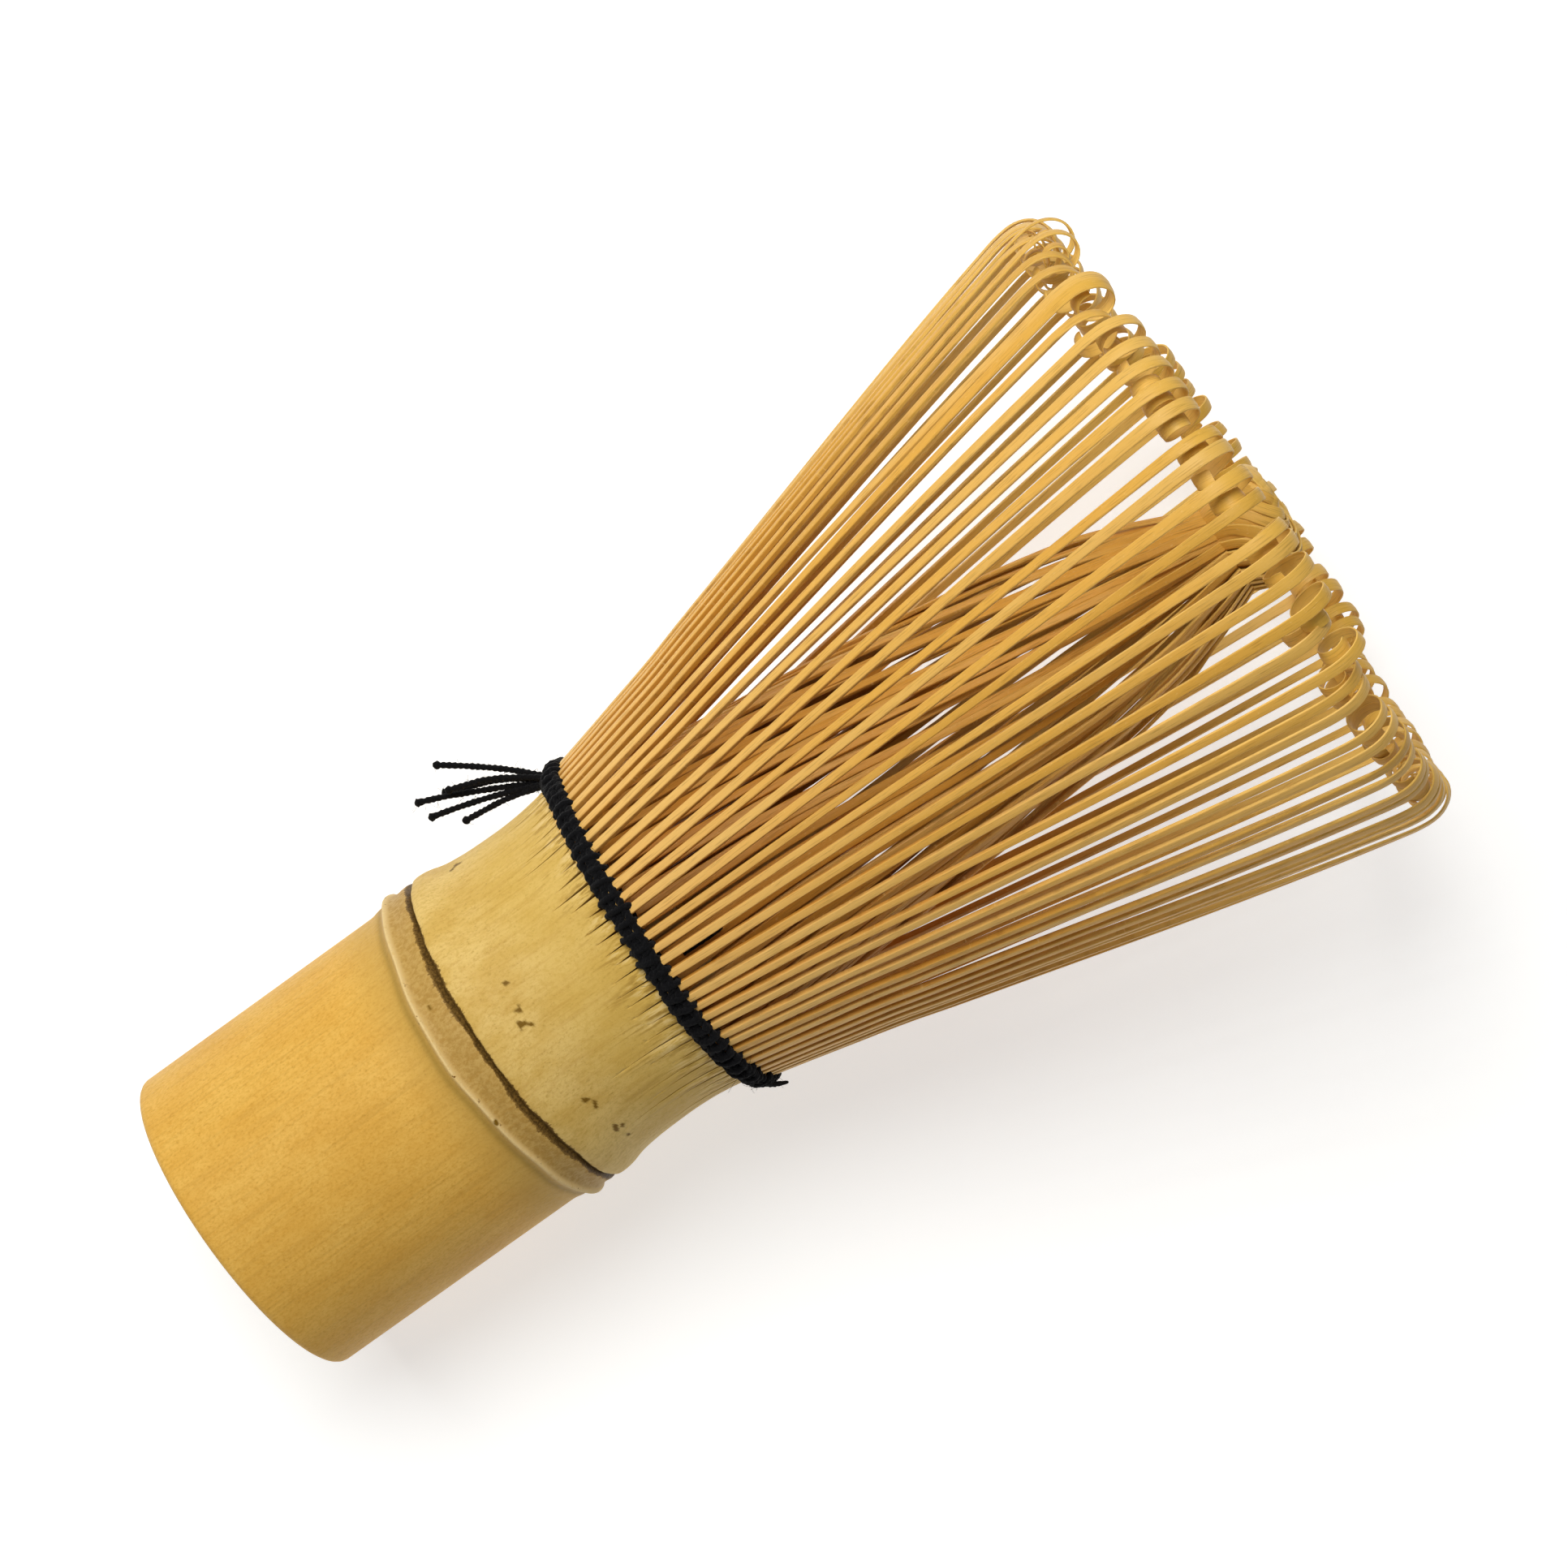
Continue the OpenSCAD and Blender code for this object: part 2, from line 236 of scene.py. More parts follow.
class Nodes:
    """Builds one material's node tree."""

    def __init__(self, name, roughness, specular=0.5):
        self.material = bpy.data.materials.new(name)
        self.material.use_nodes = True
        self.tree = self.material.node_tree
        self.shader = self.tree.nodes["Principled BSDF"]
        self.shader.inputs["Roughness"].default_value = roughness
        self.shader.inputs["Specular IOR Level"].default_value = specular

    def make(self, kind, **settings):
        node = self.tree.nodes.new(kind)
        for key, value in settings.items():
            setattr(node, key, value)
        return node

    def put(self, socket, value):
        if isinstance(value, bpy.types.NodeSocket):
            self.tree.links.new(value, socket)
        elif isinstance(value, (tuple, list)) and socket.type == "VECTOR":
            socket.default_value = value[:3]
        else:
            socket.default_value = value

    def coords(self, kind="Object", scale=(1, 1, 1)):
        """Object or UV coordinates in millimetres, times scale."""
        source = self.make("ShaderNodeTexCoord").outputs[kind]
        factor = 1000 if kind == "Object" else 1
        node = self.make("ShaderNodeMapping")
        self.put(node.inputs["Vector"], source)
        node.inputs["Scale"].default_value = [s * factor for s in scale]
        return node.outputs[0]

    def noise(self, vector, scale=1.0, detail=3.0, rough=0.55):
        node = self.make("ShaderNodeTexNoise")
        self.put(node.inputs["Vector"], vector)
        node.inputs["Scale"].default_value = scale
        node.inputs["Detail"].default_value = detail
        node.inputs["Roughness"].default_value = rough
        return node.outputs["Fac"]

    def spread(self, value, low, high, to_low=0.0, to_high=1.0):
        """Value from low..high to to_low..to_high, smoothly and clamped."""
        node = self.make("ShaderNodeMapRange", interpolation_type="SMOOTHSTEP")
        for key, v in zip(("Value", "From Min", "From Max", "To Min", "To Max"),
                          (value, low, high, to_low, to_high)):
            self.put(node.inputs[key], v)
        return node.outputs[0]

    def math(self, operation, a, b=0.0):
        node = self.make("ShaderNodeMath", operation=operation)
        self.put(node.inputs[0], a)
        self.put(node.inputs[1], b)
        return node.outputs[0]

    def mix(self, factor, a, b):
        node = self.make("ShaderNodeMix", data_type="RGBA")
        self.put(node.inputs["Factor"], factor)
        self.put(node.inputs["A"], a)
        self.put(node.inputs["B"], b)
        return node.outputs["Result"]

    def value(self, name):
        return self.make("ShaderNodeAttribute", attribute_name=name).outputs["Fac"]

    def height(self):
        """Height above the handle's base, in millimetres."""
        split = self.make("ShaderNodeSeparateXYZ")
        self.put(split.inputs[0], self.coords())
        return split.outputs["Z"]

    def bump(self, height, distance, strength=1.0):
        node = self.make("ShaderNodeBump")
        self.put(node.inputs["Height"], height)
        node.inputs["Distance"].default_value = distance * MM
        node.inputs["Strength"].default_value = strength
        self.tree.links.new(node.outputs[0], self.shader.inputs["Normal"])

    def finish(self, colour, roughness=None):
        self.put(self.shader.inputs["Base Color"], colour)
        if roughness is not None:
            self.put(self.shader.inputs["Roughness"], roughness)
        return self.material


def culm_material(name):
    """Bamboo skin: fibres, mottling, the brown marks of the node, and painted shade in the splits and
    below the node's ridge.
    """
    n = Nodes(name, 0.52, 0.09)
    fibre = n.noise(n.coords(scale=(3.2, 3.2, 0.12)), detail=4)
    mottle = n.noise(n.coords(scale=(0.28, 0.28, 0.16)), detail=4)
    grain = n.noise(n.coords(scale=(2.6, 2.6, 2.0)), detail=3, rough=0.7)
    peel = n.noise(n.coords(scale=(4.6, 4.6, 3.2)), detail=2, rough=0.6)
    z = n.height()
    body = n.mix(n.spread(mottle, 0.35, 0.68), srgb(0.86, 0.665, 0.30), srgb(0.885, 0.705, 0.345))
    body = n.mix(n.spread(grain, 0.42, 0.66, 0, 0.3), body, srgb(0.79, 0.58, 0.21))
    body = n.mix(n.spread(peel, 0.45, 0.66, 0, 0.4), body, srgb(0.78, 0.57, 0.20))
    body = n.mix(n.spread(z, 22.0, 27.0, 0, 0.6), body, srgb(0.75, 0.61, 0.31))
    collar = n.mix(n.spread(mottle, 0.36, 0.62), srgb(0.81, 0.67, 0.355), srgb(0.86, 0.735, 0.44))
    collar = n.mix(n.spread(grain, 0.45, 0.68, 0, 0.4), collar, srgb(0.73, 0.59, 0.275))
    collar = n.mix(n.spread(peel, 0.5, 0.7, 0, 0.3), collar, srgb(0.70, 0.56, 0.26))
    collar = n.mix(n.spread(z, 36.0, 41.5, 0, 0.45), collar, srgb(0.81, 0.67, 0.32))
    colour = n.mix(n.value("collar"), body, collar)
    band = n.mix(n.spread(grain, 0.35, 0.65), srgb(0.745, 0.61, 0.345), srgb(0.675, 0.53, 0.265))
    colour = n.mix(n.value("band"), colour, band)
    colour = n.mix(n.spread(fibre, 0.46, 0.7, 0, 0.22), colour, srgb(0.68, 0.50, 0.20))
    below = n.value("below")
    streak = n.math("MULTIPLY", below, n.spread(fibre, 0.5, 0.62, 0, 0.6))
    colour = n.mix(streak, colour, srgb(0.56, 0.42, 0.16))
    frayed = n.math("MULTIPLY", n.spread(below, 0.45, 0.95), n.spread(fibre, 0.48, 0.40, 0, 0.7))
    colour = n.mix(frayed, colour, srgb(0.90, 0.79, 0.54))
    # Painted shade: the split gaps between the tines are coloured dark brown
    colour = n.mix(n.value("split"), colour, srgb(0.40, 0.255, 0.075))
    # Painted shade: a soft darker olive band just below the node's ridge, where its shadow falls
    colour = n.mix(n.math("MULTIPLY", n.value("under_ridge"), 0.5), colour, srgb(0.52, 0.42, 0.17))
    ridge = n.math("MULTIPLY", n.value("ridge"), n.spread(grain, 0.3, 0.5, 0.6, 1))
    colour = n.mix(ridge, colour, srgb(0.87, 0.76, 0.53))
    pit = n.math("MULTIPLY", n.value("ridge"), n.spread(n.noise(n.coords(), 1.1), 0.66, 0.7))
    colour = n.mix(pit, colour, srgb(0.45, 0.30, 0.10))
    colour = n.mix(n.value("speck"), colour, srgb(0.47, 0.345, 0.09))
    ragged = n.math("ADD", n.value("groove"), n.spread(peel, 0.25, 0.75, -0.28, 0.28))
    colour = n.mix(n.spread(ragged, 0.2, 0.5), colour, srgb(0.47, 0.355, 0.165))
    colour = n.mix(n.spread(ragged, 0.65, 1.2, 0, 0.8), colour, srgb(0.25, 0.175, 0.065))
    colour = n.mix(n.value("pith"), colour, end_grain(n))
    rough = n.spread(grain, 0.3, 0.7, 0.42, 0.56)
    n.bump(n.math("ADD", n.math("MULTIPLY", fibre, 0.7), n.math("MULTIPLY", peel, 0.9)), 0.035, 0.8)
    return n.finish(colour, rough)


def end_grain(n):
    """Cut bamboo: pale pith with the brown dots of its fibre bundles."""
    dots = n.make("ShaderNodeTexVoronoi")
    n.put(dots.inputs["Vector"], n.coords(scale=(1, 1, 0.02)))
    dots.inputs["Scale"].default_value = 1.7
    fill = n.noise(n.coords(), 0.8)
    pale = n.mix(fill, srgb(0.84, 0.72, 0.48), srgb(0.90, 0.79, 0.56))
    bundles = n.spread(dots.outputs["Distance"], 0.12, 0.34, 0.75, 0)
    return n.mix(bundles, pale, srgb(0.55, 0.38, 0.17))


def pith_material():
    n = Nodes("cut_bamboo", 0.7, 0.3)
    grain = n.noise(n.coords(), 1.6, detail=4)
    n.bump(grain, 0.06)
    return n.finish(end_grain(n))


def tine_material(name, root, middle, tip, side, roughness):
    """Shaved bamboo: long grain on the skin side, a cut side in bamboo tones with painted shade at the
    root and painted light shining through towards the tip, and tones per tine.
    """
    n = Nodes(name, roughness, 0.24)
    grain = n.noise(n.coords("UV", (9, 0.35, 1)), detail=4)
    blotch = n.noise(n.coords("UV", (1.1, 0.16, 1)), detail=3)
    fleck = n.noise(n.coords("UV", (5, 2.2, 1)), detail=2)
    along = n.value("along")
    skin = n.mix(n.spread(along, 0.0, 0.5), srgb(*root), srgb(*middle))
    skin = n.mix(n.spread(along, 0.72, 1.0), skin, srgb(*tip))
    # Painted shade and light: the cut side is dark at the root, as if shaded, and pale gold towards
    # the tip, as if lit through
    cut_side_shade_and_glow = n.mix(n.spread(along, 0.25, 0.85), srgb(*side), srgb(0.93, 0.78, 0.41))
    colour = n.mix(n.value("skin"), cut_side_shade_and_glow, skin)
    tone = n.math("ADD", n.value("tone"), n.math("MULTIPLY", blotch, 0.6))
    colour = n.mix(n.spread(tone, 0.35, 1.25, 0, 0.55), colour, srgb(*[c * 0.8 for c in middle]))
    colour = n.mix(n.spread(tone, 0.5, -0.1, 0, 0.5), colour, srgb(0.90, 0.74, 0.43))
    colour = n.mix(n.spread(grain, 0.5, 0.72, 0, 0.4), colour, srgb(*[c * 0.7 for c in side]))
    colour = n.mix(n.spread(fleck, 0.62, 0.72, 0, 0.35), colour, srgb(0.91, 0.76, 0.47))
    n.bump(grain, 0.03, 0.8)
    return n.finish(colour, n.spread(grain, 0.3, 0.7, roughness - 0.06, roughness + 0.1))


def thread_material():
    n = Nodes("black_thread", 0.9, 0.12)
    strands = n.noise(n.coords("Object", (5, 5, 5)), detail=4)
    n.bump(strands, 0.12)
    n.shader.inputs["Sheen Weight"].default_value = 0.04
    n.shader.inputs["Sheen Roughness"].default_value = 0.5
    black, worn = srgb(0.025, 0.025, 0.033), srgb(0.065, 0.065, 0.075)
    return n.finish(n.mix(n.spread(strands, 0.35, 0.7), black, worn))


CULM = culm_material("bamboo_culm")
PITH = pith_material()
# The last colour of each is the cut side's, darkened as painted shade of the tines' sides
OUTER = tine_material("outer_tine_bamboo", (0.90, 0.705, 0.39), (0.87, 0.655, 0.275),
                      (0.85, 0.675, 0.285), (0.72, 0.47, 0.13), 0.44)
INNER = tine_material("inner_tine_bamboo", (0.78, 0.52, 0.17), (0.87, 0.63, 0.25),
                      (0.88, 0.71, 0.33), (0.64, 0.39, 0.09), 0.46)
THREAD = thread_material()


# ---------------------------------------------------------------- culm

def ridge_z(a):
    """Height of the node's ridge."""
    return 28.4 + 0.68 * cosd(2 * a) + 0.1 * sind(5 * a + 57) + 0.05 * sind(13 * a)


def groove_z(a):
    """Height of the dark groove above the node."""
    return (31.25 + 0.25 * cosd(2 * a) - 0.2 * cosd(a) + 0.07 * sind(7 * a + 20)
            + 0.04 * sind(17 * a))


def band_z(a):
    """Height of the thread's middle."""
    return 48.15 - 0.45 * cosd(a) + 0.15 * cosd(3 * a)


# The collar's height above the groove, and its radius there
COLLAR_PROFILE = [(0, 16.34), (0.5, 16.46), (1.5, 16.42), (3, 16.02), (5, 15.76), (7.5, 15.64),
                  (9.8, 15.62), (12, 15.74), (14.4, 16.05), (16.5, 16.45)]


def culm_radius(a, z):
    """Outer radius of the culm: handle, flare to the ridge, scraped band, groove, collar."""
    ridge, groove = ridge_z(a), groove_z(a)
    r = HANDLE_R + 0.52 * smooth(z, ridge - 2.8, ridge - 0.1) ** 1.7
    r = r + 0.34 * bell(z - ridge, 0.26)
    r = r - 0.10 * bell(z - ridge - 1.0, 0.6) - 0.12 * bell(z - ridge + 0.8, 0.4)
    r = np.where(z < groove, r, spline(z - groove, COLLAR_PROFILE))
    width = 0.25 + 0.05 * sind(6 * a + 80) + 0.03 * sind(23 * a)
    r = r - 0.34 * bell(z - groove, width)
    wave = 0.05 * sind(2 * a + 30) + 0.03 * sind(3 * a + 100 + 4 * z) * smooth(z, 26, 30)
    return r + wave + 0.025 * sind(9 * a + 11 * z) * smooth(z, 31, 33)


def marks(a, z):
    """The point attributes that colour the culm's outer surface."""
    ridge, groove = ridge_z(a), groove_z(a)
    width = 0.35 + 0.09 * sind(6 * a + 80) + 0.05 * sind(23 * a) + 0.04 * sind(61 * a)
    return {
        "ridge": bell(z - ridge - 0.06, 0.28),
        # Where painted shade falls below the ridge
        "under_ridge": bell(z - ridge + 0.8, 0.42),
        "band": smooth(z, ridge + 0.1, ridge + 0.5) * (z < groove + 0.1),
        "collar": smooth(z, groove - 0.1, groove + 0.2),
        "groove": np.clip(1.25 * np.exp(-(np.abs(z - groove + 0.04) / width) ** 3), 0, 1),
    }


# Small brown scars on the collar and the node: direction, height and radius
SPECKS = [(-164, 36.7, 0.42), (-162, 36.1, 0.3), (-104, 36.1, 0.28), (-95, 35.7, 0.35),
          (-90, 35.2, 0.42), (-88.5, 35.9, 0.25), (-56, 35.4, 0.34), (-53, 35.9, 0.3),
          (-51, 35.6, 0.22), (-38, 35.5, 0.46), (-36.5, 36.0, 0.3), (-30, 35.7, 0.25),
          (-112, 29.2, 0.2), (-70, 28.1, 0.25), (100, 37, 0.4), (103, 36.4, 0.3),
          (60, 35.8, 0.35), (20, 37.4, 0.3), (150, 35.6, 0.3)]


def speck_mark(a, z):
    """1 inside a scar, with a ragged edge."""
    found = np.zeros_like(z)
    ragged = 1 + 0.3 * np.sin(z * 8 + a * 0.5) + 0.25 * np.sin(a * 1.5 - z * 5)
    for direction, height, radius in SPECKS:
        aside = (a - direction + 180) % 360 - 180
        away = np.hypot(aside * math.pi / 180 * 15.7, (z - height) * 1.2)
        found = np.maximum(found, smooth(away, 1.15 * radius * ragged, 0.8 * radius * ragged))
    return found


def lathe(parts, rows, **values):
    """Closed surface through rows of (azimuth, radius, height) arrays, from outside to inside."""
    a, r, z = (np.stack([np.broadcast_to(row[k], rows[0][0].shape) for row in rows]) for k in range(3))
    verts = np.stack([r * cosd(a), r * sind(a), z], -1)
    parts.add(verts, grid_faces(len(rows), a.shape[1], closed_rows=True),
              np.stack([a, z], -1), **values)


def culm_piece(name, node, outer, inner, slot, split=None, below=None):
    """A piece of culm from rows of its outer surface (azimuth, height) and of its inner side."""
    rows = [(a, culm_radius(a, z) if r is None else r, z) for a, z, r in outer] + inner
    a = np.stack([row[0] for row in rows])
    z = np.stack([np.broadcast_to(row[2], row[0].shape) for row in rows])
    shown = np.zeros(len(rows))
    shown[:len(outer)] = 1
    shown = shown[:, None]
    values = {key: value * shown for key, value in marks(a, z).items()}
    values["speck"] = speck_mark(a, z) * shown
    values["pith"] = np.broadcast_to(1 - shown, a.shape)
    # split marks the gaps that take painted shade
    values["split"] = np.zeros_like(a) if split is None else split
    values["below"] = np.zeros_like(a) if below is None else below
    parts = Parts()
    lathe(parts, rows, **values)
    return parts.piece(name, CULM, slot, stands_for=[node], sharp=60)


def make_handle():
    a = np.linspace(-180, 180, 360, endpoint=False)
    edge = 0.7
    outer = []
    for turn in np.linspace(0, 90, 5):
        outer.append((a, np.full_like(a, edge * (1 - cosd(turn))),
                      HANDLE_R + 0.05 * sind(2 * a + 30) - edge * (1 - sind(turn))))
    outer += [(a, np.full_like(a, z), None) for z in np.linspace(1.2, SEAM_Z, 22)]
    inner = [(a, BORE_R, np.full_like(a, SEAM_Z)), (a, BORE_R, np.full_like(a, 0.3)),
             (a, BORE_R + 0.3, np.zeros_like(a)), (a, 13.0, np.zeros_like(a)),
             (a, 14.9, np.zeros_like(a))]
    culm_piece("handle_shell", "handle_culm", outer, inner, "culm_skin")


def make_node_band():
    a = np.linspace(-180, 180, 720, endpoint=False)
    ridge, groove = ridge_z(a), groove_z(a)
    heights = [SEAM_Z + (ridge - 1.25 - SEAM_Z) * t for t in np.linspace(0, 1, 8)]
    # Close rows over the ridge and into the groove, and wide ones between
    heights += [ridge + d for d in (-1.05, -0.9, -0.75, -0.6, -0.48, -0.38, -0.3, -0.22, -0.15,
                                    -0.08, 0, 0.08, 0.15, 0.22, 0.3, 0.38, 0.48, 0.6, 0.8)]
    heights += [ridge + 0.8 + (groove - ridge - 1.4) * t for t in np.linspace(0.15, 1, 7)]
    heights += [groove - d for d in (0.5, 0.42, 0.35, 0.29, 0.23, 0.17, 0.11, 0.05, 0)]
    outer = [(a, z, None) for z in heights]
    inner = [(a, BORE_R, groove), (a, BORE_R, np.full_like(a, SEAM_Z))]
    culm_piece("node_band", "node_ring", outer, inner, "culm_node")


def split_length(azimuth):
    """How far below the thread a split between two tines runs, before chance."""
    c = cosd(azimuth)
    return 2.9 + 2.8 * smooth(c, 0.0, 0.75) + 0.8 * smooth(-c, 0.5, 0.95)


SPLIT_DEPTH = 0.7
SPLIT_TOP = 0.6                  # the splits are full at this depth below the thread's middle
# Heights of the collar's rows of points above the groove: close in the groove, at the scars
# and along the splits
COLLAR_ROWS = np.concatenate([
    [0, 0.05, 0.11, 0.17, 0.23, 0.29, 0.35, 0.42, 0.5, 0.65, 0.85, 1.1, 1.5, 2, 2.6, 3.2],
    np.arange(3.6, 6.6, 0.15), np.linspace(7.0, 9.5, 4), np.linspace(10, 17, 34)])


def make_collar():
    """The collar, whose top is split between the tines by narrow, pointed gaps."""
    rng = np.random.default_rng(11)
    centre = -180 + PITCH * (np.arange(TINES) + 0.5) + rng.normal(0, 0.22, TINES)
    length = split_length(centre) * np.exp(rng.normal(0, 0.33, TINES))
    wide = (0.125 + 0.045 * smooth(-cosd(centre), -0.1, 0.8)) * rng.uniform(0.6, 1.3, TINES)
    bulge = rng.normal(0, 0.045, TINES)
    lean = rng.normal(0, 0.05, TINES)
    shares = np.linspace(0, 1, 6)
    outer, splits, below = [], [], []
    for h in COLLAR_ROWS:
        base_z = groove_z(centre) + h
        top = band_z(centre) - SPLIT_TOP
        t = np.clip((base_z - (top - length)) / length, 0, 1.25)
        half = np.maximum(wide * t ** 0.9, 0.02) / 16 * 180 / math.pi
        line = centre + lean * t * 6
        nxt = np.roll(line, -1) + np.where(np.arange(TINES) == TINES - 1, 360, 0)
        half_next = np.roll(half, -1)
        columns = [line, line + half * 0.55]
        columns += [(line + half) * (1 - s) + (nxt - half_next) * s for s in shares]
        columns += [nxt - half_next * 0.55]
        a = np.stack(columns, 1).ravel()
        deep = np.stack([t, t * 0.6] + [t * 0] * len(shares) + [np.roll(t, -1) * 0.6], 1).ravel()
        z = groove_z(a) + h
        round_over = [4 * s * (1 - s) * t * (0.07 + bulge) for s in shares]
        crown = np.stack([t * 0, t * 0] + round_over + [t * 0], 1).ravel()
        r = culm_radius(a, z) - SPLIT_DEPTH * np.minimum(deep, 1) + crown
        outer.append((a, z, r))
        # Where the split gaps take painted shade
        splits.append(smooth(deep, 0.02, 0.4))
        away = band_z(a) - SPLIT_TOP - z
        below.append(smooth(away, 1.5 * split_length(a) * (1 + 0.5 * sind(a * 31)), 0))
    a = outer[-1][0]
    inner = [(a, COLLAR_BORE_R, outer[-1][1]), (outer[0][0], COLLAR_BORE_R, groove_z(outer[0][0]))]
    pad = [np.zeros_like(a)] * 2
    culm_piece("split_collar_skin", "split_collar", outer, inner, "collar_skin",
               np.stack(splits + pad), np.stack(below + pad))


# ---------------------------------------------------------------- outer tines

TIP_LENGTH = 77                  # distance along a tine where its colours become the tip's
STEP = 1.7                       # between points along a tine's straight part
# By distance along the tine: its heading from upright, where minus is outwards, and its section
LEAN = [(0, -12.6), (8, -13.6), (14, -13.9), (16.5, -16.3), (19, -15.2), (22, -15.0), (34, -15.3),
        (48, -14.7), (62, -13.2)]
TINE_WIDTH = [(0, 0.72), (4, 0.78), (15, 0.74), (35, 0.75), (55, 0.88), (66, 1.08), (73, 1.26),
              (92, 1.2)]
TINE_THICK = [(0, 0.6), (15, 0.56), (35, 0.5), (55, 0.34), (66, 0.21), (74, 0.15), (92, 0.12)]
# By heading: the radius of the bend at the tip, which coils ever tighter
BEND_R = [(-13.2, 19), (0, 7.0), (20, 4.2), (60, 2.6), (95, 2.25), (180, 2.2), (270, 1.75),
          (400, 1.3), (600, 0.9)]


def outer_profile(straight, size, sweep):
    """Radius, height and heading along an outer tine: it leans out, turns in and coils."""
    length = np.arange(0, straight, STEP)
    heading = spline(length, LEAN)
    steps = np.full(len(length), STEP)
    turn = np.concatenate([np.arange(heading[-1] + 3, 0, 3), np.arange(2, 90, 8),
                           np.arange(92, sweep, 13)])
    radius = spline(turn, BEND_R) * np.where(turn > 0, size, 1)
    bend_steps = radius * np.radians(np.diff(turn, prepend=turn[0] - 3))
    heading = np.concatenate([heading, turn])
    steps = np.concatenate([steps, bend_steps])
    middle = (heading + np.concatenate([[heading[0]], heading[:-1]])) / 2
    steps[0] = 0
    r = OUTER_ROOT[0] - np.cumsum(steps * sind(middle))
    z = OUTER_ROOT[1] + np.cumsum(steps * cosd(middle))
    return r, z, heading, np.cumsum(steps)


def outer_tine(parts, azimuth, edge, rng):
    """One outer tine. edge is how far it stands from its group's middle, from -1 to 1."""
    side = abs(cosd(azimuth))
    size = (1.02 - 0.19 * side) * rng.uniform(0.92, 1.05)
    straight = 65.2 - (0.9 if cosd(azimuth) < 0 else 1.2) * side + rng.uniform(-0.3, 0.3)
    sweep = rng.uniform(320, 560)
    r, z, heading, length = outer_profile(straight, size, sweep)
    high = smooth(z, 52, 110)
    curl = smooth(heading, 60, 420)
    sway = np.clip(rng.normal(0, 0.4), -0.62, 0.62) * high
    sway = sway + 0.12 * rng.uniform(-1.5, 1.5) * sind(length * 4 + 90 * rng.random())
    drift = (rng.uniform(-0.9, 1.5) - 0.25 * edge) * curl
    r = r + rng.uniform(-0.25, 0.25) * high + 0.1 * rng.uniform(-1.5, 1.5) * sind(length * 3.3)
    out, aside = radial(np.full(len(r), azimuth))
    path = out * r[:, None] + aside * (sway + drift)[:, None] + UP * z[:, None]
    turn = rng.normal(0, 5) * high
    outward = out * cosd(heading)[:, None] + UP * sind(heading)[:, None]
    outward = outward + aside * sind(turn)[:, None]
    width = spline(length, TINE_WIDTH) * rng.uniform(0.9, 1.1)
    width[-1] *= 0.86
    thick = spline(length, TINE_THICK)
    ribbon(parts, path, outward, width, thick, rng.uniform(0, 60), rng.uniform(0, 30),
           along=np.clip(length / TIP_LENGTH, 0, 1), tone=rng.normal(0, 0.3))


def make_outer_tines():
    rng = np.random.default_rng(23)
    for n in range(SPLITS):
        parts = Parts()
        middle = 360 / SPLITS * n
        for k in range(PER_SPLIT):
            place = k - (PER_SPLIT - 1) / 2
            edge = place / ((PER_SPLIT - 1) / 2)
            outer_tine(parts, middle + PITCH * place + rng.normal(0, 0.12), edge, rng)
        name = f"{n + 1:02d}"
        piece = parts.piece(f"outer_tine_strips_{name}", OUTER, "outer_tine", body=None,
                            stands_for=[f"outer_tines_{name}"], sharp=35)
        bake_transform(piece)


# ---------------------------------------------------------------- inner tines and tuft

# By height: the bundle's radius, how far its middle stands to +X, and the tines' section
BUNDLE_R = [(46, 14.9), (52, 14.3), (62, 13.1), (73, 11.8), (84, 10.4), (93.7, 9.1), (101, 7.5),
            (106, 5.9), (NECK_Z, 4.3)]
BUNDLE_X = [(46, 0), (60, 0.3), (84, 1.2), (100, 1.9), (NECK_Z, 2.15), (120, 2.1)]
INNER_WIDTH = [(46, 0.82), (60, 0.80), (80, 0.74), (95, 0.68), (104, 0.74), (NECK_Z, 0.9)]
INNER_THICK = [(46, 0.5), (70, 0.42), (90, 0.34), (104, 0.25), (NECK_Z, 0.18)]
# How the tuft's strips run from the neck over the top and in, by the share of the way that is
# done: radius, height and turn
TUFT_R = [(0, 4.3), (0.12, 4.8), (0.3, 5.2), (0.5, 4.9), (0.68, 3.9), (0.82, 2.7), (0.92, 1.8),
          (1, 1.3)]
TUFT_Z = [(0, NECK_Z), (0.12, 111.2), (0.3, 112.9), (0.5, 114.7), (0.68, 115.9), (0.82, 116.2),
          (0.92, 115.8), (1, 114.9)]
TUFT_TURN = [(0, 0), (0.15, 8), (0.35, 28), (0.55, 58), (0.75, 95), (1, 150)]
TUFT_HOLE = (-2.3, -1.5, -0.3)   # where the strips run in, from the middle of the bundle
LAYERS, LAYER_GAP = 3, 0.42      # the inner tines lie in layers, each this far inside the last


def tilted(out, aside, tilt):
    """The outward side of a strip that lies over its neighbour like a shingle."""
    return out * cosd(tilt)[:, None] + aside * sind(tilt)[:, None]


